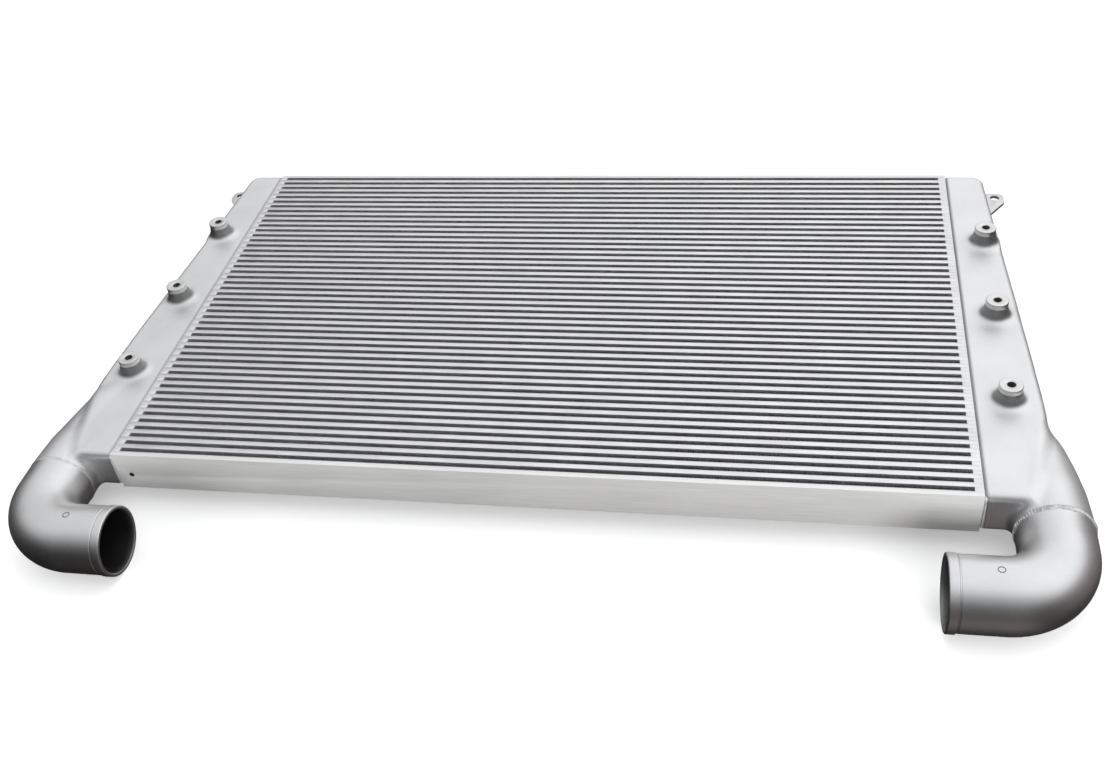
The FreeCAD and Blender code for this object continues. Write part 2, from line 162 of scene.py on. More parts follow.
def bevelled(node, name, slot, width, segments=2, tone=None):
    """A copy of a CAD node with its sharp edges rounded, standing for the node.

    tone gives a share of the base colour for a point in millimetres.
    """
    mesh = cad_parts[node].data.copy()
    mesh.name = name
    shape = bmesh.new()
    shape.from_mesh(mesh)
    bmesh.ops.remove_doubles(shape, verts=shape.verts, dist=1e-6)
    bmesh.ops.dissolve_limit(
        shape, angle_limit=math.radians(1), verts=shape.verts, edges=shape.edges, delimit=set()
    )
    sharp = math.radians(30)
    edges = [e for e in shape.edges if len(e.link_faces) == 2 and e.calc_face_angle(0) > sharp]
    bmesh.ops.bevel(
        shape, geom=edges, offset=width * MM, offset_type="OFFSET", segments=segments, profile=0.5,
        affect="EDGES", clamp_overlap=True,
    )
    shape.to_mesh(mesh)
    shape.free()
    if tone:
        set_tone(mesh, [tone(*(vertex.co / MM)) for vertex in mesh.vertices])
    piece = bpy.data.objects.new(name, mesh)
    bpy.context.scene.collection.objects.link(piece)
    finish_piece(piece, slot, sharp_angle=28)
    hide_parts(node)
    return piece


def grid_faces(rows, columns, wrap=False, offset=0):
    """Quads of a grid of points, row by row; wrap joins the last column to the first."""
    faces = []
    for r in range(rows - 1):
        here, above = offset + r * columns, offset + (r + 1) * columns
        for c in range(columns if wrap else columns - 1):
            d = (c + 1) % columns
            faces.append((here + c, here + d, above + d, above + c))
    return faces


def closing_faces(last, first, columns):
    """Quads that join a grid's last ring of points to its first."""
    ring = [(i, (i + 1) % columns) for i in range(columns)]
    return [(last + i, last + j, first + j, first + i) for i, j in ring]


def lathe(profile, columns, centre):
    """Turns a profile of (radius, height) pairs about the vertical axis through centre."""
    angles = np.linspace(0, 2 * math.pi, columns, endpoint=False)
    points = [
        (centre[0] + r * math.cos(a), centre[1] + r * math.sin(a), centre[2] + h)
        for r, h in profile for a in angles
    ]
    return points, grid_faces(len(profile), columns, True)


def arc(centre, radius, start, stop, steps):
    """Points of a circle's arc, with angles in degrees."""
    angles = [math.radians(a) for a in np.linspace(start, stop, steps)]
    return [(centre[0] + radius * math.cos(a), centre[1] + radius * math.sin(a)) for a in angles]


# ---- Shader nodes ----------------------------------------------------------------------------


def noise_node(tree, vector, scale, detail):
    """A noise texture's grey value."""
    texture = tree.nodes.new("ShaderNodeTexNoise")
    texture.inputs["Scale"].default_value = scale
    texture.inputs["Detail"].default_value = detail
    tree.links.new(vector, texture.inputs["Vector"])
    return texture.outputs["Fac"]


def stretched(tree, vector, scale):
    """A vector scaled along each axis, which draws a texture out where the scale is small."""
    mapping = tree.nodes.new("ShaderNodeMapping")
    mapping.inputs["Scale"].default_value = scale
    tree.links.new(vector, mapping.inputs["Vector"])
    return mapping.outputs["Vector"]


def ranged(tree, value, source, target, smooth=False):
    """A value mapped from one range to another, with an eased course if smooth."""
    node = tree.nodes.new("ShaderNodeMapRange")
    if smooth:
        node.interpolation_type = "SMOOTHSTEP"
    node.inputs["From Min"].default_value, node.inputs["From Max"].default_value = source
    node.inputs["To Min"].default_value, node.inputs["To Max"].default_value = target
    tree.links.new(value, node.inputs["Value"])
    return node.outputs["Result"]


def maths(tree, operation, *inputs):
    """A maths node's result."""
    node = tree.nodes.new("ShaderNodeMath")
    node.operation = operation
    for socket, value in zip(node.inputs, inputs):
        tree.links.new(value, socket)
    return node.outputs["Value"]


def number_mix(tree, factor, a, b):
    """A mix of two numbers."""
    node = tree.nodes.new("ShaderNodeMix")
    tree.links.new(factor, node.inputs["Factor"])
    tree.links.new(a, node.inputs["A"])
    tree.links.new(b, node.inputs["B"])
    return node.outputs["Result"]


# A mix node's factor, colour inputs and colour output, which share their names with other sockets.
MIX_INPUTS = (0, 6, 7)
MIX_OUTPUT = 2


def colour_mix(tree, factor, a, b, blend="MIX"):
    """A mix of two colours. The factor and each colour are a socket or a plain value."""
    node = tree.nodes.new("ShaderNodeMix")
    node.data_type = "RGBA"
    node.blend_type = blend
    for index, value in zip(MIX_INPUTS, (factor, a, b)):
        if isinstance(value, bpy.types.NodeSocket):
            tree.links.new(value, node.inputs[index])
        else:
            node.inputs[index].default_value = value
    return node.outputs[MIX_OUTPUT]


# ---- Materials -------------------------------------------------------------------------------

# The noise values between which the clouds turn from dark to light and the grain from smooth to rough.
CLOUD_STOPS = (0.3, 0.7)
GRAIN_STOPS = (0.3, 0.7)
# How much the grain darkens and lightens the colour.
SPECKLE = (0.86, 1.08)
# Pointiness from a plain face to a worn edge, and that edge's colour.
EDGE_POINTINESS = (0.5, 0.6)
WORN = (0.93, 0.93, 0.92, 1)
GRAIN_DEPTH = 0.0006


def cloud_colour(tree, clouds, dark, light):
    """A colour that runs from dark to light with the clouds."""
    ramp = tree.nodes.new("ShaderNodeValToRGB")
    for element, position, colour in zip(ramp.color_ramp.elements, CLOUD_STOPS, (dark, light)):
        element.position = position
        element.color = (*colour, 1)
    tree.links.new(clouds, ramp.inputs["Fac"])
    return ramp.outputs["Color"]


def worn_colour(tree, colour, edge):
    """The colour with its convex edges rubbed bright."""
    pointed = tree.nodes.new("ShaderNodeNewGeometry").outputs["Pointiness"]
    return colour_mix(tree, ranged(tree, pointed, EDGE_POINTINESS, (0.0, edge)), colour, WORN)


def toned_colour(tree, colour):
    """The colour times the mesh's tone at each point, mostly painted shade in holes, bores and grooves."""
    tone = tree.nodes.new("ShaderNodeAttribute")
    tone.attribute_name = "tone"
    return colour_mix(tree, 1.0, colour, tone.outputs["Fac"], "MULTIPLY")


def raised_grain(tree, grains, relief):
    """A normal that lifts the grain."""
    bump = tree.nodes.new("ShaderNodeBump")
    bump.inputs["Strength"].default_value = relief
    bump.inputs["Distance"].default_value = GRAIN_DEPTH
    tree.links.new(grains, bump.inputs["Height"])
    return bump.outputs["Normal"]


def metal(
    name, light, dark, roughness, cloud, grain, relief, brushed=None, edge=0.0, metallic=1.0, toned=False
):
    """A procedural aluminium: clouded colour, speckled or brushed grain in roughness and relief.

    light and dark are the cloud's two colours, roughness its two ends, cloud and grain are
    noise scales per metre, and brushed is the axis scale that draws the grain out into lines.
    edge is how bright the edges are rubbed. metallic under 1 adds a soft diffuse share, as on a
    surface scored by fine brushing, and toned follows the mesh's tone, mostly painted shade in hollows.
    """
    made = bpy.data.materials.new(name)
    made.use_nodes = True
    tree = made.node_tree
    shader = tree.nodes["Principled BSDF"]
    shader.inputs["Metallic"].default_value = metallic
    place = tree.nodes.new("ShaderNodeTexCoord").outputs["Object"]
    clouds = noise_node(tree, place, cloud, 5.0)
    grains = noise_node(tree, stretched(tree, place, brushed) if brushed else place, grain, 3.0)
    speckle = ranged(tree, grains, (0.0, 1.0), SPECKLE)
    colour = colour_mix(tree, 1.0, cloud_colour(tree, clouds, dark, light), speckle, "MULTIPLY")
    if edge:
        colour = worn_colour(tree, colour, edge)
    if toned:
        colour = toned_colour(tree, colour)
    tree.links.new(colour, shader.inputs["Base Color"])
    tree.links.new(ranged(tree, grains, GRAIN_STOPS, roughness), shader.inputs["Roughness"])
    tree.links.new(raised_grain(tree, grains, relief), shader.inputs["Normal"])
    return made


MATERIALS = {
    "side_plate": metal("brushed_side_plate", (0.93, 0.93, 0.92), (0.86, 0.86, 0.85), (0.55, 0.75),
                        cloud=6, grain=260, relief=0.10, brushed=(0.06, 1, 2.2), metallic=0.3,
                        toned=True),
    "core_bar": metal("brazed_bar", (0.93, 0.93, 0.94), (0.80, 0.80, 0.81), (0.34, 0.50),
                      cloud=22, grain=340, relief=0.10, brushed=(0.10, 1, 1), metallic=0.6),
    "parting_sheet": metal("parting_sheet_edge", (0.92, 0.92, 0.93), (0.80, 0.80, 0.81), (0.34, 0.50),
                           cloud=30, grain=500, relief=0.08, brushed=(0.15, 1, 1)),
    "fin_foil": metal("fin_foil", (0.93, 0.93, 0.95), (0.84, 0.84, 0.86), (0.38, 0.55),
                      cloud=25, grain=600, relief=0.06),
    "cast_tank": metal("blasted_tank_casting", (0.94, 0.945, 0.955), (0.86, 0.865, 0.875), (0.42, 0.56),
                       cloud=11, grain=850, relief=0.16, edge=0.25, toned=True),
    "cast_elbow": metal("blasted_elbow_casting", (0.87, 0.875, 0.885), (0.79, 0.79, 0.80), (0.34, 0.46),
                        cloud=13, grain=850, relief=0.16, edge=0.25, toned=True),
    "machined_boss": metal("turned_boss", (0.88, 0.88, 0.87), (0.80, 0.80, 0.79), (0.34, 0.50),
                           cloud=40, grain=900, relief=0.12, edge=0.35, toned=True),
    "weld": metal("weld_bead", (0.84, 0.84, 0.85), (0.58, 0.58, 0.59), (0.26, 0.50),
                  cloud=120, grain=1300, relief=0.22, edge=0.2, metallic=0.6, toned=True),
    "lug_plate": metal("lug_sheet", (0.84, 0.84, 0.85), (0.75, 0.75, 0.76), (0.40, 0.55),
                       cloud=20, grain=800, relief=0.12, edge=0.3),
}

# ---- Camera and light ------------------------------------------------------------------------

CAMERA_AT = Vector((0.3359, -1.3120, 1.1510))
CAMERA_LOOKS = Vector((-0.19280, 0.73619, -0.64874))
CAMERA_ROLL = -7.73
LENS = 39.8
SENSOR = 36.0
# The sky's brightness by the sine of the height above the horizon, behind the object and in front.
SKY = [
    (-1.0, 0.02), (-0.62, 0.04), (-0.35, 0.25), (0.0, 0.35), (0.15, 0.40), (0.34, 1.0), (0.47, 1.2),
    (0.62, 1.06), (1.0, 1.0),
]
SKY_FRONT = [(-1.0, 0.12), (-0.70, 0.12), (-0.30, 0.06), (0.20, 0.09), (0.62, 0.38), (0.95, 0.92)]
# How far to the front or rear of straight up the one turns into the other.
FRONT_TO_REAR = (-0.75, -0.15)
# Its two sides' factors, left and right, and how far out each is reached.
SKY_SIDES = (0.70, 1.14)
SKY_SPREAD = (-0.8, 0.8)
# The same two sides below the horizon, where the floor in front throws light back.
GLOW_SIDES = (0.2, 1.5)
GLOW_SPREAD = (-0.5, 0.2)
GLOW_TO_SKY = (-0.1, 0.3)
# Low down at both sides the studio is dark: its factor, how far out it starts, and up to what height.
LOW_SIDES = 0.3
LOW_SIDES_FROM = (0.35, 0.65)
LOW_SIDES_UP_TO = (0.25, 0.55)
# Its colour, warm low down and cool high up.
TINT_LOW = (1.0, 0.90, 0.85, 1)
TINT_HIGH = (0.975, 0.99, 1.0, 1)
TINT_HEIGHTS = (-0.2, 0.7)
# Each light's name, place, size and watts.
LIGHTS = [
    ("overhead_softbox", (0.5, 0.9, 2.8), (2.6, 2.0), 8.0),
    ("fill_right", (1.0, -2.0, 0.60), (0.9, 0.6), 24.0),
    ("fill_left", (-1.4, -1.7, 0.45), (0.9, 0.6), 9.0),
]
# Half the room's width, which is its height too, and how far its walls reach below the floor.
ROOM_HALF = 12.0
ROOM_BELOW = 0.1
FLOOR_TONE = 0.9
FLOOR_GLOW = 0.35


def add_camera():
    """Stands close above the hose elbows, right of the middle, and is rolled a little."""
    camera = bpy.data.cameras.new("camera")
    camera.lens = LENS
    camera.sensor_width = SENSOR
    camera.clip_start = 0.05
    camera.clip_end = 50.0
    stand = bpy.data.objects.new("camera", camera)
    bpy.context.scene.collection.objects.link(stand)
    level = CAMERA_LOOKS.to_track_quat("-Z", "Y")
    roll = Matrix.Rotation(math.radians(CAMERA_ROLL), 4, "Z")
    stand.matrix_world = Matrix.Translation(CAMERA_AT) @ level.to_matrix().to_4x4() @ roll
    bpy.context.scene.camera = stand


def add_light(name, at, size, power):
    """A soft light aimed at the object's foot, which stays out of the metal's reflections."""
    lamp = bpy.data.lights.new(name, "AREA")
    lamp.shape = "RECTANGLE"
    lamp.size, lamp.size_y = size
    lamp.energy = power
    stand = bpy.data.objects.new(name, lamp)
    stand.visible_glossy = False
    bpy.context.scene.collection.objects.link(stand)
    aim = -Vector(at)
    stand.matrix_world = Matrix.Translation(at) @ aim.to_track_quat("-Z", "Y").to_matrix().to_4x4()


def by_height(tree, height, stops):
    """A brightness that follows stops of height and value, from straight down to straight up."""
    ramp = tree.nodes.new("ShaderNodeValToRGB")
    ramp.color_ramp.interpolation = "EASE"
    while len(ramp.color_ramp.elements) < len(stops):
        ramp.color_ramp.elements.new(0.5)
    for element, (position, value) in zip(ramp.color_ramp.elements, stops):
        element.position = (position + 1) / 2
        element.color = (value, value, value, 1)
    tree.links.new(ranged(tree, height, (-1.0, 1.0), (0.0, 1.0)), ramp.inputs["Fac"])
    return ramp.outputs["Color"]


def side_factor(tree, x, z):
    """How bright the studio is to the left and right, above and below the horizon."""
    glow = ranged(tree, x, GLOW_SPREAD, GLOW_SIDES, smooth=True)
    sky = ranged(tree, x, SKY_SPREAD, SKY_SIDES, smooth=True)
    side = number_mix(tree, ranged(tree, z, GLOW_TO_SKY, (0.0, 1.0), smooth=True), glow, sky)
    out = ranged(tree, maths(tree, "ABSOLUTE", x), LOW_SIDES_FROM, (0.0, 1.0), smooth=True)
    low = ranged(tree, z, LOW_SIDES_UP_TO, (1.0, 0.0), smooth=True)
    low_side = maths(tree, "MULTIPLY", out, low)
    return maths(tree, "MULTIPLY", side, ranged(tree, low_side, (0.0, 1.0), (1.0, LOW_SIDES), smooth=True))


def add_world():
    """A soft studio: bright overhead and behind, dark in front and low at the sides."""
    world = bpy.data.worlds.new("studio")
    bpy.context.scene.world = world
    world.use_nodes = True
    tree = world.node_tree
    background = tree.nodes["Background"]
    split = tree.nodes.new("ShaderNodeSeparateXYZ")
    tree.links.new(tree.nodes.new("ShaderNodeTexCoord").outputs["Generated"], split.inputs["Vector"])
    x, y, z = (split.outputs[axis] for axis in "XYZ")
    front = ranged(tree, y, FRONT_TO_REAR, (1.0, 0.0), smooth=True)
    sky = number_mix(tree, front, by_height(tree, z, SKY), by_height(tree, z, SKY_FRONT))
    tint = colour_mix(tree, ranged(tree, z, TINT_HEIGHTS, (0.0, 1.0), smooth=True), TINT_LOW, TINT_HIGH)
    tree.links.new(tint, background.inputs["Color"])
    tree.links.new(maths(tree, "MULTIPLY", sky, side_factor(tree, x, z)), background.inputs["Strength"])


def add_plain(name, corners, faces, tone, glow):
    """A plain, softly glowing surface of the set, which stays out of the metal's reflections."""
    mesh = bpy.data.meshes.new(name)
    mesh.from_pydata(corners, [], faces)
    plain = bpy.data.objects.new(name, mesh)
    bpy.context.scene.collection.objects.link(plain)
    paint = bpy.data.materials.new(name)
    paint.use_nodes = True
    shader = paint.node_tree.nodes["Principled BSDF"]
    shader.inputs["Base Color"].default_value = (tone, tone, tone, 1)
    shader.inputs["Roughness"].default_value = 0.9
    shader.inputs["Specular IOR Level"].default_value = 0.0
    shader.inputs["Emission Color"].default_value = (1, 1, 1, 1)
    shader.inputs["Emission Strength"].default_value = glow
    mesh.materials.append(paint)
    plain.visible_diffuse = False
    plain.visible_glossy = False
    return plain


def add_set():
    """A pale floor, and white walls and a ceiling that let the sky's light through."""
    signs = ((-1, -1), (1, -1), (1, 1), (-1, 1))
    square = [(ROOM_HALF * x, ROOM_HALF * y) for x, y in signs]
    add_plain("floor", [(x, y, 0) for x, y in square], [(0, 1, 2, 3)], FLOOR_TONE, FLOOR_GLOW)
    corners = [(x, y, z) for z in (-ROOM_BELOW, ROOM_HALF) for x, y in square]
    walls = [(i, (i + 1) % 4, (i + 1) % 4 + 4, i + 4) for i in range(4)]
    room = add_plain("backdrop", corners, walls + [(7, 6, 5, 4)], 0.0, 1.0)
    room.visible_shadow = False


def add_stage():
    """The camera, the sky, the set and the lights."""
    add_camera()
    add_world()
    add_set()
    for name, at, size, power in LIGHTS:
        add_light(name, at, size, power)
    bpy.context.scene.view_settings.view_transform = "Standard"


# ---- Core ------------------------------------------------------------------------------------

# Each set of bars: its CAD node, its visible piece, and how far its edges are broken.
BAR_SETS = [
    ("tube_bars_top", "oil_passage_bars_upper", 0.12), ("tube_bars_bottom", "oil_passage_bars_lower", 0.12),
    ("end_bars_left", "air_passage_bars_left", 0.06), ("end_bars_right", "air_passage_bars_right", 0.06),
]
# The side plates' broken edges: width and segments.
PLATE_EDGE = (0.7, 3)
# The near plate's small blind hole, and the painted shade inside it.
HOLE_X = 19.5 - CORE_END
HOLE_Z = MIDDLE_Z - 6.0
HOLE_RADIUS = 3.5
HOLE_SHADE = 0.03
# The folded foil: one fold's length, the metal's thickness, how far it is set back from the core's
# faces, its clearance from the sheets, and the lean of its flanks as a share of a fold.
FIN_PITCH = 3.0
FOIL = 0.16
FIN_RECESS = 1.2
FIN_CLEARANCE = 0.02
FIN_LEAN = 0.12
FIN_GROUPS = 4


def near_plate_hole_shade(x, y, z):
    """Painted shade inside the near plate's blind hole, plain everywhere else."""
    in_hole = math.hypot(x - HOLE_X, z - HOLE_Z) < HOLE_RADIUS + 0.6 and y > NEAR_Y + 0.05
    return HOLE_SHADE if in_hole else 1.0


def add_core_bars():
    """The bars and side plates with broken edges, and the materials of the nodes that stay."""
    for node, name, edge in BAR_SETS:
        bevelled(node, name, "core_bar", edge)
    bevelled("near_side_plate", "side_plate_near", "side_plate", *PLATE_EDGE, near_plate_hole_shade)
    bevelled("far_side_plate", "side_plate_far", "side_plate", *PLATE_EDGE)
    for node, slot in (("parting_sheets", "parting_sheet"), ("turbulators", "fin_foil")):
        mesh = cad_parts[node].data
        mesh.materials.clear()
        mesh.materials.append(MATERIALS[slot])


def fin_line():
    """One passage's folded foil seen from above: x along the passage, y across it, both skins."""
    folds = int(round(2 * FIN_END / FIN_PITCH))
    pitch = 2 * FIN_END / folds
    low, high = FIN_CLEARANCE, GAP - FIN_CLEARANCE
    lean, half = FIN_LEAN * pitch, FOIL / 2
    outer, inner = [], []
    for i in range(folds):
        x = -FIN_END + i * pitch
        foot = (x + lean, x + pitch / 2 - lean)
        crest = (x + pitch / 2 + lean, x + pitch - lean)
        outer += [(foot[0] - half, low + FOIL), (foot[1] + half, low + FOIL)]
        outer += [(crest[0] - half, high), (crest[1] + half, high)]
        inner += [(foot[0] + half, low), (foot[1] - half, low)]
        inner += [(crest[0] + half, high - FOIL), (crest[1] - half, high - FOIL)]
    return outer, inner


def fin_faces(start, count):
    """A passage's faces, for four lines of points: each skin's lower edge and its upper edge."""
    low_out, high_out, low_in, high_in = (start + k * count for k in range(4))
    faces = []
    for i, j in itertools.pairwise(range(count)):
        faces.append((high_out + i, high_out + j, low_out + j, low_out + i))
        faces.append((high_in + j, high_in + i, low_in + i, low_in + j))
        faces.append((high_in + i, high_in + j, high_out + j, high_out + i))
        faces.append((low_in + j, low_in + i, low_out + i, low_out + j))
    last = count - 1
    faces.append((low_in, high_in, high_out, low_out))
    faces.append((high_in + last, low_in + last, low_out + last, high_out + last))
    return faces


def add_fins():
    """Folded foil in every air passage, set back from both faces."""
    outer, inner = fin_line()
    levels = (BOTTOM_Z + FIN_RECESS, TOP_Z - FIN_RECESS)
    per_group = PASSAGES // FIN_GROUPS
    for group in range(FIN_GROUPS):
        points, faces = [], []
        for row in range(group * per_group, (group + 1) * per_group):
            base = FIRST_PASSAGE + row * PITCH
            faces += fin_faces(len(points), len(outer))
            for line, level in itertools.product((outer, inner), levels):
                points += [(x, base + y, level) for x, y in line]
        piece = make_piece(f"folded_fins_{group + 1}", points, faces, "fin_foil", smooth=False)
        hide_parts("air_fins")


# ---- Side tanks ------------------------------------------------------------------------------
# A tank has a frame of its own: x outwards from the core's end, y from the near face, z from the
# middle of the core's depth.

TANK_WALL = 5.0
TANK_STEP = 2.5
# Where the grid of the tank's surface starts, chosen so that no two of its points fall together.
TANK_GRID_SHIFT = (1.7, 0.9)
TANK_GRID_LOW = -60.3
TANK_GRID_OUT = 130.0
TANK_CORNER = 18.0
TANK_FILLET = 11.0
TANK_END_EDGE = 2.5
TANK_JOINT_EDGE = 5.0
TANK_WAVES = [(0.18, 70.0, 0.0), (0.10, 23.0, 3.0)]
# The outer edge's rounding: y, radius.
TANK_EDGE_LINE = [(-60, 10), (110, 10), (175, 9), (760, 9)]
# The outer wall seen from above: y, x.
WALL_LINE = [
    (-60, 20), (0, 54), (31, 65), (64, 71.5), (100, 78), (144, 86), (240, 82.3), (320, 78), (500, 67.5),
    (700, 56), (760, 52.5),
]
# The round outlet: y, x, z, radius. Its last radius is negative, so the outlet ends inside the tank.
HORN_LINE = [
    (-40, OUTLET_SIDE, -13.4, 44.45), (-11.7, OUTLET_SIDE, -13.4, 44.45),
    (34, 79.5, -13.4, 43.2), (58, 79.0, -13.5, 40.5), (92, 75.5, -11.0, 36.5), (118, 69.0, -6.0, 33.0),
    (154, 47.0, -3.0, 24.0), (190, 30.0, 0.0, 10.0), (230, 20.0, 0.0, -20.0),
]
# A boss's flared foot: how much narrower than the boss its top is, how much wider its cone and its
# root grow, the power that curves the root, and its height, buried depth, fillet and trimmed edge.
BELL_NECK = 0.4
BELL_CONE = 4.5
BELL_FOOT = 6.5
BELL_POWER = 6
BELL_HEIGHT = 19.0
BELL_BURIED = 8.0
BELL_FILLET = 3.0
BELL_TRIM = 4.0
# The hollow under each boss: its radius, and its floor above the tank's face.
BELL_BORE = 9.0
BELL_FLOOR = 1.0
# Shares of the base colour that paint shade on the flared feet under the boss rims and in the groove of the
# joint against the core.
FLARE_SHADE = 0.5
JOINT_SHADE = 0.5


def smooth_line(x, stations, values):
    """A smooth curve through stations, with no overshoot between them."""
    stations, values = np.asarray(stations, float), np.asarray(values, float)
    widths = np.diff(stations)
    slopes = np.diff(values) / widths
    tangents = np.zeros(len(values))
    tangents[0], tangents[-1] = slopes[0], slopes[-1]
    for i in range(1, len(values) - 1):
        if slopes[i - 1] * slopes[i] > 0:
            w1, w2 = 2 * widths[i] + widths[i - 1], widths[i] + 2 * widths[i - 1]
            tangents[i] = (w1 + w2) / (w1 / slopes[i - 1] + w2 / slopes[i])
    x = np.clip(x, stations[0], stations[-1])
    i = np.clip(np.searchsorted(stations, x, side="right") - 1, 0, len(widths) - 1)
    t = (x - stations[i]) / widths[i]
    return (
        (2 * t**3 - 3 * t**2 + 1) * values[i] + (t**3 - 2 * t**2 + t) * widths[i] * tangents[i]
        + (3 * t**2 - 2 * t**3) * values[i + 1] + (t**3 - t**2) * widths[i] * tangents[i + 1]
    )


def rounded_max(a, b, radius):
    """The intersection of two distances, with its edge rounded."""
    edge = np.hypot(np.maximum(a + radius, 0), np.maximum(b + radius, 0))
    return np.minimum(np.maximum(a, b), -radius) + edge


def filleted_min(a, b, radius):
    """The union of two distances, with its inner corner filled by a fillet."""
    corner = np.hypot(np.maximum(radius - a, 0), np.maximum(radius - b, 0))
    return np.maximum(np.minimum(a, b), radius) - corner


def plan_distance(x, y, inset):
    """Signed distance to the tank's outline seen from above, but open towards the core."""
    stations, widths = zip(*WALL_LINE)
    slope = (smooth_line(y + 1, stations, widths) - smooth_line(y - 1, stations, widths)) / 2
    wall = (x - smooth_line(y, stations, widths)) / np.hypot(1, slope) + inset
    return np.maximum(rounded_max(wall, y - CORE_HEIGHT + inset, TANK_CORNER - inset), inset - y)


def block_distance(x, y, z, inset):
    """Signed distance to the tank's flat-sided part, or to its cavity when inset by the wall."""
    plan = plan_distance(x, y, inset)
    end = np.maximum(-y, y - CORE_HEIGHT) + inset
    on_wall = np.clip((plan - end) / 6 + 1, 0, 1)
    edge = TANK_END_EDGE + (smooth_line(y, *zip(*TANK_EDGE_LINE)) - TANK_END_EDGE) * on_wall
    body = rounded_max(plan, np.abs(z) - HALF_DEPTH + inset, np.maximum(edge - inset, 1.0))
    return body if inset else rounded_max(body, -x, TANK_JOINT_EDGE)


def bell_distance(x, y, z):
    """Signed distances to the bosses' flared feet, trimmed to the outline, and to their bores."""
    height = z - HALF_DEPTH
    t = np.clip(1 - height / BELL_HEIGHT, 0, 1)
    radius = BOSS_RADIUS - BELL_NECK + BELL_CONE * t + BELL_FOOT * t**BELL_POWER
    slope = (BELL_CONE + BELL_POWER * BELL_FOOT * t ** (BELL_POWER - 1)) / BELL_HEIGHT
    nearest = np.min([np.hypot(x - BOSS_X, y - boss_y) for boss_y in BOSS_YS], axis=0)
    flare = (nearest - radius) / np.hypot(1, slope)
    flare = rounded_max(flare, plan_distance(x, y, 0), BELL_TRIM)
    flare = np.maximum(flare, np.maximum(height - BELL_HEIGHT, -BELL_BURIED - height))
    return flare, np.maximum(nearest - BELL_BORE, BELL_FLOOR - height)


def tank_shade(points):
    """Painted shade on the flared feet under the boss rims and in the joint's groove against the core,
    plain elsewhere.
    """
    foot = np.clip((points[:, Z] - HALF_DEPTH - 1.0) / 5.0, 0, 1)
    joint = np.clip(1 - (points[:, X] - 2.0) / 3.0, 0, 1)
    return (1 + (FLARE_SHADE - 1) * foot * foot * (3 - 2 * foot)) * (1 + (JOINT_SHADE - 1) * joint)


def horn_distance(x, y, z, inset):
    """Signed distance to the round outlet, or to its bore when inset by the wall."""
    stations, centres, heights, radii = zip(*HORN_LINE)
    across = x - smooth_line(y, stations, centres)
    up = z - smooth_line(y, stations, heights)
    shrink = smooth_line(y + 1, stations, radii) - smooth_line(y - 1, stations, radii)
    return (np.hypot(across, up) - smooth_line(y, stations, radii)) / np.hypot(1, shrink / 2) + inset


def tank_distance(points):
    """Signed distance to the hollow casting: negative in the metal."""
    x, y, z = points[..., X], points[..., Y], points[..., Z]
    wobble = unevenness(points, TANK_WAVES)
    outside = filleted_min(block_distance(x, y, z, 0), horn_distance(x, y, z, 0), TANK_FILLET)
    flare, flare_bore = bell_distance(x, y, z)
    outside = np.maximum(filleted_min(outside, flare, BELL_FILLET), -flare_bore) + wobble
    cavity = filleted_min(
        block_distance(x, y, z, TANK_WALL), horn_distance(x, y, z, TANK_WALL), TANK_FILLET + TANK_WALL
    )
    return np.maximum(np.maximum(outside, -cavity), np.maximum(-x, -SEAM_GAP - y))


# How points are drawn onto a surface: rounds, the share of the way in each, how far a point may
# leave its cell's centre in cells, the half width of a slope's sample, and the least slope squared.
NET_ROUNDS = 8
NET_PULL = 0.8
NET_REACH = 0.6
NET_SAMPLE = 0.05
NET_LEAST_SLOPE = 0.25


def drawn_onto(distance, centres, step):
    """Points that start at centres and are drawn onto the zero surface of a distance."""
    points = centres.copy()
    reach = NET_REACH * step
    for _ in range(NET_ROUNDS):
        value = distance(points)
        rises = [
            distance(points + NET_SAMPLE * axis) - distance(points - NET_SAMPLE * axis)
            for axis in np.eye(3)
        ]
        slope = np.stack(rises, axis=-1) / (2 * NET_SAMPLE)
        steepness = np.maximum((slope**2).sum(-1), NET_LEAST_SLOPE)
        points -= (value / steepness)[:, None] * slope * NET_PULL
        points = np.clip(points, centres - reach, centres + reach)
    return points


def net_quads(inside, index, axis, sign):
    """Quads across the grid's edges along an axis where the surface is crossed one way."""
    a, b = (other for other in range(3) if other != axis)
    at = np.argwhere(np.diff(inside.astype(int), axis=axis) == sign)
    at = at[(at[:, a] > 0) & (at[:, b] > 0)]
    at = at[(at[:, a] < index.shape[a]) & (at[:, b] < index.shape[b])]
    ring = []
    for da, db in ((0, 0), (1, 0), (1, 1), (0, 1)):
        cell = at.copy()
        cell[:, a] -= da
        cell[:, b] -= db
        ring.append(index[cell[:, X], cell[:, Y], cell[:, Z]])
    quads = np.stack(ring, axis=-1)
    outward = (sign > 0) == (axis == 1)
    return quads if outward else quads[:, ::-1]


def surface_net(distance, low, high, step):
    """Quads over the zero surface of a distance, on a grid, with each point drawn onto the surface."""
    axes = [np.arange(a, b + step, step) for a, b in zip(low, high)]
    lattice = np.stack(np.meshgrid(*axes, indexing="ij"), axis=-1)
    inside = distance(lattice) < 0
    counts = [len(a) - 1 for a in axes]
    total = sum(
        inside[i:i + counts[0], j:j + counts[1], k:k + counts[2]].astype(int)
        for i, j, k in itertools.product((0, 1), repeat=3)
    )
    active = (total > 0) & (total < 8)
    index = np.full(active.shape, -1)
    index[active] = np.arange(active.sum())
    centres = np.array([a[0] for a in axes]) + step * (np.argwhere(active) + 0.5)
    points = drawn_onto(distance, centres, step)
    crossings = itertools.product(range(3), (1, -1))
    return points, np.concatenate([net_quads(inside, index, axis, sign) for axis, sign in crossings])


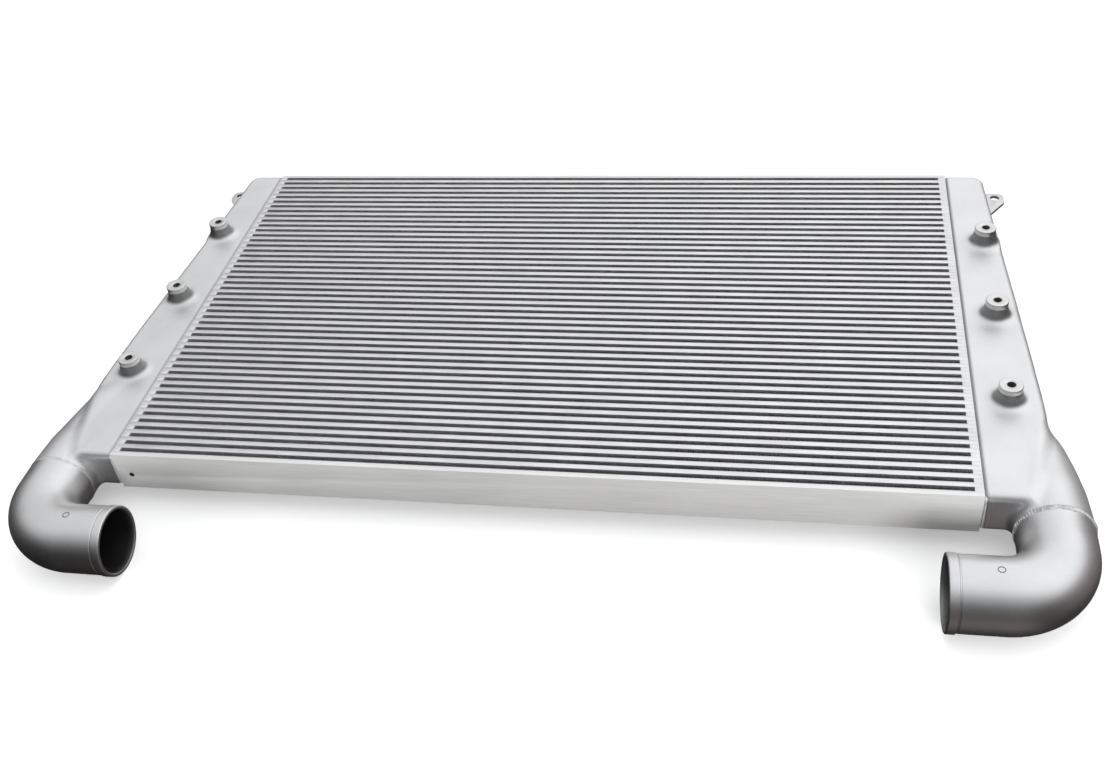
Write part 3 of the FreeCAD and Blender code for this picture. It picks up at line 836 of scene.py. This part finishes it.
def add_tanks():
    """Both hollow castings, from one signed distance."""
    margin = 2 * TANK_STEP
    shift_x, shift_y = TANK_GRID_SHIFT
    low = (-margin + shift_x, -SEAM_GAP - margin + shift_y, TANK_GRID_LOW)
    high = (TANK_GRID_OUT, CORE_HEIGHT + margin, HALF_DEPTH + BELL_HEIGHT + margin)
    points, faces = surface_net(tank_distance, low, high, TANK_STEP)
    # The tanks' tone is painted shade under the boss rims and in the joint's groove.
    tone = tank_shade(points)
    points = points + np.array([CORE_END, NEAR_Y, MIDDLE_Z])
    for name, side in SIDES:
        shape = mirrored(points, faces, side)
        piece = make_piece(f"side_tank_{name}", *shape, "cast_tank", sharp_angle=50, tone=tone)
        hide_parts(f"{name}_tank")


# ---- Elbows ----------------------------------------------------------------------------------

RING = 96
ELBOW_WAVES = [(0.16, 60.0, 1.0), (0.10, 21.0, 5.0)]
# The hose collar: its length, its soft step's length and how far the step reaches past the collar,
# the shallow groove behind it, and the mouth's rounded rim and broken inner edge.
COLLAR_LENGTH = 11.0
STEP_LENGTH = 1.2
STEP_PAST = 1.0
UNDERCUT = 0.55
UNDERCUT_AT = 1.8
RIM = 1.6
BORE_EDGE = 0.9
# The bore's painted shade, as a share of the base colour past the mouth's rim.
BORE_SHADE = 0.32
# The cast ring on top of each hose end: its place, its section as radius and height, and its tone.
MARK_X = MOUTH_X + 55.5
MARK_COLUMNS = 48
MARK_SECTION = [(4.6, -0.4), (4.5, 0.15), (4.2, 0.4), (3.7, 0.4), (3.4, 0.15), (3.3, -0.4)]
MARK_TONE = 0.3


def elbow_centreline():
    """Stations from the seam to the mouth: the point and the sideways direction, both in plan."""
    stations = []
    for y in np.linspace(SEAM_Y, BEND_Y, 8)[:-1]:
        stations.append(((ELBOW_X, y), (1.0, 0.0)))
    for a in np.linspace(0, 90, 40):
        c, s = math.cos(math.radians(a)), math.sin(math.radians(a))
        stations.append(((ELBOW_X - BEND_RADIUS + BEND_RADIUS * c, BEND_Y - BEND_RADIUS * s), (c, -s)))
    straight = (ELBOW_X - BEND_RADIUS) - MOUTH_X
    collar = straight - COLLAR_LENGTH
    steps = [*np.linspace(3, collar - 3.4, 14)]
    steps += [collar - back for back in (3.0, 2.4, 1.8, 1.4)]
    steps += [collar - STEP_PAST + STEP_LENGTH * t for t in (0.0, 0.25, 0.5, 0.75, 1.0)]
    steps += [collar + STEP_LENGTH, straight - 5.0, straight - RIM]
    steps += [straight - RIM + RIM * math.sin(math.radians(a)) for a in (22, 45, 67, 90)]
    stations += [((ELBOW_X - BEND_RADIUS - s, OUTLET_Y), (0.0, -1.0)) for s in steps]
    return stations


def elbow_radius(x, y):
    """The outside radius: a plain pipe, a raised collar with a soft step, and a rounded rim."""
    if y > BEND_Y - BEND_RADIUS + 0.01 or x > ELBOW_X - BEND_RADIUS:
        return PIPE_RADIUS
    left = x - MOUTH_X
    rise = min(max((COLLAR_LENGTH + STEP_PAST - left) / STEP_LENGTH, 0), 1)
    radius = PIPE_RADIUS + (COLLAR_RADIUS - PIPE_RADIUS) * rise * rise * (3 - 2 * rise)
    radius -= UNDERCUT * max(1 - abs(left - COLLAR_LENGTH - UNDERCUT_AT) / STEP_LENGTH, 0)
    if left < RIM:
        radius -= RIM - math.sqrt(max(RIM**2 - (RIM - left) ** 2, 0))
    return radius


def share_past_mouth(station, start, length):
    """From 0 at start behind the mouth to 1 a length further in, and 1 all round the bend."""
    (x, y), _ = station
    if y > OUTLET_Y + 0.01:
        return 1
    return min(max((x - MOUTH_X - start) / length, 0), 1)


def bore_shades(stations):
    """The bore's tone from the mouth inwards: painted shade darkens it a few millimetres past the rim."""
    return [1 + (BORE_SHADE - 1) * share_past_mouth(station, 2, 5) for station in reversed(stations)]


def pipe_rings(stations, radii):
    """A ring of points about the elbow's centreline at each station."""
    angles = np.linspace(0, 2 * math.pi, RING, endpoint=False)
    return np.array([
        [(x + r * sx * math.cos(a), y + r * sy * math.cos(a), PIPE_Z + r * math.sin(a)) for a in angles]
        for ((x, y), (sx, sy)), r in zip(stations, radii)
    ])


def uneven_skin(stations, outside):
    """The casting's outside with shallow hollows, but plain at the mouth and at the seam."""
    wobble = unevenness(outside, ELBOW_WAVES)
    middle = outside.mean(axis=1, keepdims=True)
    share = np.array([share_past_mouth(station, 13, 20) for station in stations])
    share = share * np.array([min((SEAM_Y - y) / 12, 1) for (x, y), _ in stations])
    outward = (outside - middle) / np.linalg.norm(outside - middle, axis=2, keepdims=True)
    return outside + outward * (np.minimum(wobble, 0.0) * share[:, None])[..., None]


def add_elbows():
    """Both quarter-turn hose ends, each one closed skin from the outside round into the bore."""
    stations = elbow_centreline()
    outside = pipe_rings(stations, [elbow_radius(x, y) for (x, y), _ in stations])
    outside = uneven_skin(stations, outside)
    bore = PIPE_RADIUS - PIPE_WALL
    inwards = list(reversed(stations))
    bore_radii = [bore + (BORE_EDGE if x < MOUTH_X + BORE_EDGE else 0.0) for (x, y), _ in inwards]
    rows = np.concatenate([outside, pipe_rings(inwards, bore_radii)])
    points = rows.reshape(-1, 3)
    faces = grid_faces(len(rows), RING, True)
    faces += closing_faces((len(rows) - 1) * RING, 0, RING)
    tone = np.ones(len(points))
    # The bore's rows get painted shade.
    tone[len(outside) * RING:] = np.repeat(bore_shades(stations), RING)
    for name, side in SIDES:
        shape = mirrored(points, faces, side)
        piece = make_piece(f"hose_elbow_{name}", *shape, "cast_elbow", sharp_angle=50, tone=tone)
        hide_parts(f"{name}_elbow")


def add_casting_marks():
    """A small raised ring, generic, cast on top of each hose end."""
    angles = np.linspace(0, 2 * math.pi, MARK_COLUMNS, endpoint=False)
    points = []
    for radius, height in MARK_SECTION:
        for a in angles:
            x, y = radius * math.cos(a), radius * math.sin(a)
            z = math.sqrt(PIPE_RADIUS**2 - y**2) + height
            points.append((MARK_X + x, OUTLET_Y + y, PIPE_Z + z))
    rows = len(MARK_SECTION)
    faces = grid_faces(rows, MARK_COLUMNS, True)
    faces += closing_faces((rows - 1) * MARK_COLUMNS, 0, MARK_COLUMNS)
    tone = np.full(len(points), MARK_TONE)
    for name, side in SIDES:
        make_piece(f"casting_mark_{name}", *mirrored(points, faces, side), "cast_elbow", tone=tone)


# ---- Welds -----------------------------------------------------------------------------------

# The bead's two root points, as shares of its half width and of its height, sunk in the metal.
BEAD_ROOT = [(-0.8, -0.35), (0.8, -0.35)]
BEAD_ARCH = 9
# The joint between core and tank: how far its groove lies under the faces, and the runs' sections.
JOINT_SINK = 3.6
JOINT_FROM_CORE = 2.2
LONG_RUN = {"lead_out": 4.0, "width": 3.8, "height": 0.9}
SHORT_RUN = {"lead_out": 0.0, "width": 5.2, "height": 4.2}
# The seam's ring on each side: width, height, depth of its ripples, and the seed of its lumps.
SEAMS = {"right": (6.8, 2.1, 0.75, 11), "left": (4.0, 0.8, 0.4, 31)}
SEAM_COLUMNS = 480
SEAM_RIPPLE = 3.9
SEAM_LOWEST = 0.3
JOINT_RIPPLE = 2.6


def bead(path, normals, widths, heights, closed=False):
    """A rippled weld bead: a low arch of points swept along path, sunk a little into the metal.

    path is a list of points, normals the outward directions, widths and heights one per point.
    """
    path, normals = np.asarray(path, float), np.asarray(normals, float)
    if closed:
        along = np.roll(path, -1, axis=0) - np.roll(path, 1, axis=0)
    else:
        along = np.gradient(path, axis=0)
    along /= np.linalg.norm(along, axis=1, keepdims=True)
    side = np.cross(along, normals)
    side /= np.linalg.norm(side, axis=1, keepdims=True)
    shape = [(math.cos(a), math.sin(a)) for a in np.linspace(0, math.pi, BEAD_ARCH)] + BEAD_ROOT
    rows = np.stack([
        path + side * (c * np.asarray(widths)[:, None] / 2) + normals * (s * np.asarray(heights)[:, None])
        for c, s in shape
    ], axis=1)
    columns = len(shape)
    faces = grid_faces(len(path), columns, True)
    last = (len(path) - 1) * columns
    if closed:
        faces += closing_faces(last, 0, columns)
    else:
        faces += [tuple(reversed(range(columns))), tuple(last + i for i in range(columns))]
    return rows.reshape(-1, 3), [tuple(reversed(f)) for f in faces]


def ripples(count, period, step, depth, seed):
    """Heights of a bead's frozen ripples, with every ripple a little different."""
    rng = np.random.default_rng(seed)
    at = np.arange(count) * step
    wave = (at / period) % 1.0
    ripple = (at / period).astype(int)
    strength = rng.uniform(0.6, 1.3, ripple.max() + 2)[ripple]
    return 1 - depth * strength * wave**1.5


def join(parts):
    """Several (points, faces) as one."""
    points, faces = [], []
    for new_points, new_faces in parts:
        base = sum(len(p) for p in points)
        points.append(np.asarray(new_points, float))
        faces += [tuple(base + i for i in face) for face in new_faces]
    return np.concatenate(points), faces


def seam_bead(width, height, depth, seed):
    """The ring between tank and elbow, with ripples cut to depth, a share of its height.

    It is flattened underneath, so that it stays above the floor the collars stand on.
    """
    around = 2 * math.pi * PIPE_RADIUS
    angles = np.linspace(0, 2 * math.pi, SEAM_COLUMNS, endpoint=False)
    rng = np.random.default_rng(seed)
    wave = ripples(SEAM_COLUMNS, SEAM_RIPPLE, around / SEAM_COLUMNS, depth, seed + 1)
    drift = 0.10 * rng.standard_normal(SEAM_COLUMNS).cumsum() / 20
    lumps = 1 + 0.25 * np.sin(angles * 5 + 1.0) * np.sin(angles * 2) + drift
    normals = np.stack([np.cos(angles), np.zeros(SEAM_COLUMNS), np.sin(angles)], axis=-1)
    path = np.array([ELBOW_X, SEAM_Y, PIPE_Z]) + (PIPE_RADIUS - 0.15) * normals
    path[:, Y] += 0.35 * np.sin(angles * 9) + 0.25 * np.sin(angles * 23 + 2)
    widths = width * (0.8 + 0.2 * wave) * lumps
    heights = height * np.clip(wave * lumps, 0.25, 1.15)
    points, faces = bead(path, normals, widths, heights, closed=True)
    points[:, Z] = np.maximum(points[:, Z], SEAM_LOWEST)
    return points, faces


def joint_bead(start, stop, normal, seed, lead_out, width, height):
    """A straight run along the joint between core and tank, whose start is led out by lead_out."""
    start, stop = np.array(start, float), np.array(stop, float)
    length = np.linalg.norm(stop - start)
    count = int(length / 0.8)
    t = np.linspace(0, 1, count)
    path = start + (stop - start) * t[:, None]
    rng = np.random.default_rng(seed)
    knots = rng.uniform(-0.7, 0.7, int(length / 30) + 2)
    drift = np.interp(t * length, np.arange(0, length + 30, 30), knots)
    path[:, X] += drift + lead_out * np.clip(1 - t * length / 28, 0, 1) ** 2
    wave = ripples(count, JOINT_RIPPLE, length / count, 0.45, seed)
    ends = np.clip(np.minimum(t, 1 - t) * length / 2.0, 0.25, 1)
    widths = width * (0.85 + 0.15 * wave) * ends
    return bead(path, np.tile(normal, (count, 1)), widths, height * wave * ends)


def joint_weld():
    """The four runs that close the joint between the core and the right-hand tank, and their tone, with
    painted shade on the runs in the groove.
    """
    x = CORE_END + JOINT_FROM_CORE
    top, bottom = TOP_Z - JOINT_SINK, BOTTOM_Z + JOINT_SINK
    near, far = NEAR_Y + JOINT_SINK, FAR_Y - JOINT_SINK
    points, faces = join([
        joint_bead((x, near, top), (x, far, top), (0, 0, 1), 21, **LONG_RUN),
        joint_bead((x, near, bottom), (x, far, bottom), (0, 0, -1), 22, **LONG_RUN),
        joint_bead((x, near, bottom), (x, near, top), (0, -1, 0), 23, **SHORT_RUN),
        joint_bead((x, far, bottom), (x, far, top), (0, 1, 0), 24, **SHORT_RUN),
    ])
    # Painted shade on the runs that lie in the groove.
    in_groove = np.abs(points[:, Z] - MIDDLE_Z) > HALF_DEPTH - JOINT_SINK - 0.8
    tone = np.where(in_groove & (points[:, Y] > NEAR_Y + 3), JOINT_SHADE, 1.0)
    return points, faces, tone


def add_welds():
    """On each side the joint between core and tank, and the seam between tank and elbow."""
    points, faces, tone = joint_weld()
    for name, side in SIDES:
        shape = mirrored(points, faces, side)
        piece = make_piece(f"core_weld_{name}", *shape, "weld", sharp_angle=60, tone=tone)
        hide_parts(f"{name}_tank_weld")
        shape = mirrored(*seam_bead(*SEAMS[name]), side)
        piece = make_piece(f"seam_weld_{name}", *shape, "weld", sharp_angle=60)
        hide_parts(f"{name}_elbow_weld")


# ---- Bosses and lugs -------------------------------------------------------------------------

BOSS_COLUMNS = 64
# The shank hidden in the foot, the turned rim above the foot, and its two broken edges.
SHANK_INSET = 2.0
SHANK_FLOOR = 2.0
RIM_UNDER = 1.2
LOWER_EDGE = 0.5
UPPER_EDGE = 1.2
# The tapped hole. Its threads run out over the last stretch above its floor.
TAP_RADIUS = 5.1
TAP_DEPTH = 20.0
MOUTH_DROP = 0.7
THREAD_PITCH = 1.75
THREAD_DEPTH = 0.7
THREAD_ROW = 0.22
THREAD_RUN_OUT = 2.0
# Painted shade inside the tapped hole, as a share of the base colour.
TAP_HOLE_SHADE = 0.12
LUG_EDGE = 0.5


def boss_profile():
    """Outside of a boss from its floor up: hidden shank, turned rim, broken edge, face, mouth."""
    rim_foot = BELL_HEIGHT - RIM_UNDER
    shank, corner = BOSS_RADIUS - SHANK_INSET, BOSS_RADIUS - LOWER_EDGE
    profile = [(shank, SHANK_FLOOR), (shank, rim_foot), (corner, rim_foot)]
    profile += arc((corner, rim_foot + LOWER_EDGE), LOWER_EDGE, -70, 0, 3)
    profile += arc((BOSS_RADIUS - UPPER_EDGE, BOSS_HEIGHT - UPPER_EDGE), UPPER_EDGE, 0, 90, 6)
    profile += [(TAP_RADIUS + 1.6, BOSS_HEIGHT), (TAP_RADIUS + 0.7, BOSS_HEIGHT - 0.5)]
    return profile


def thread_wall(columns, centre):
    """The tapped hole's wall: a true helix of shallow V grooves, run out above its floor."""
    rows = int(TAP_DEPTH / THREAD_ROW)
    angles = np.linspace(0, 2 * math.pi, columns, endpoint=False)
    points = []
    for depth in np.linspace(MOUTH_DROP, TAP_DEPTH, rows):
        fade = min(1.0, max((TAP_DEPTH - THREAD_RUN_OUT - depth) / THREAD_RUN_OUT, 0.0))
        z = centre[2] + BOSS_HEIGHT - depth
        for a in angles:
            turn = (depth / THREAD_PITCH + a / (2 * math.pi)) % 1.0
            r = TAP_RADIUS + THREAD_DEPTH * (1 - abs(2 * turn - 1)) * fade
            points.append((centre[0] + r * math.cos(a), centre[1] + r * math.sin(a), z))
    return points, rows


def add_boss(node, name):
    """A turned boss with its tapped blind hole, as one closed skin."""
    low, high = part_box(node)
    centre = ((low.x + high.x) / 2 / MM, (low.y + high.y) / 2 / MM, low.z / MM)
    columns = BOSS_COLUMNS
    points, faces = lathe(boss_profile(), columns, centre)
    wall, rows = thread_wall(columns, centre)
    mouth = len(points) - columns
    points = points + wall
    faces += grid_faces(rows + 1, columns, True, mouth)
    floor = len(points) - columns
    faces.append(tuple(floor + i for i in range(columns)))
    faces.append(tuple(reversed(range(columns))))
    tone = np.ones(len(points))
    # The hole's wall and floor get painted shade.
    tone[mouth + 2 * columns:] = TAP_HOLE_SHADE
    piece = make_piece(name, points, faces, "machined_boss", sharp_angle=35, tone=tone)
    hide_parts(node)


def add_fittings():
    """The six bosses and the two ears."""
    for side, where in itertools.product(("left", "right"), BOSS_ROW):
        add_boss(f"{side}_boss_{where}", f"tapped_boss_{side}_{where}")
    for side in ("left", "right"):
        bevelled(f"{side}_lug", f"fixing_lug_{side}", "lug_plate", LUG_EDGE)


add_stage()
add_core_bars()
add_fins()
add_tanks()
add_elbows()
add_casting_marks()
add_welds()
add_fittings()
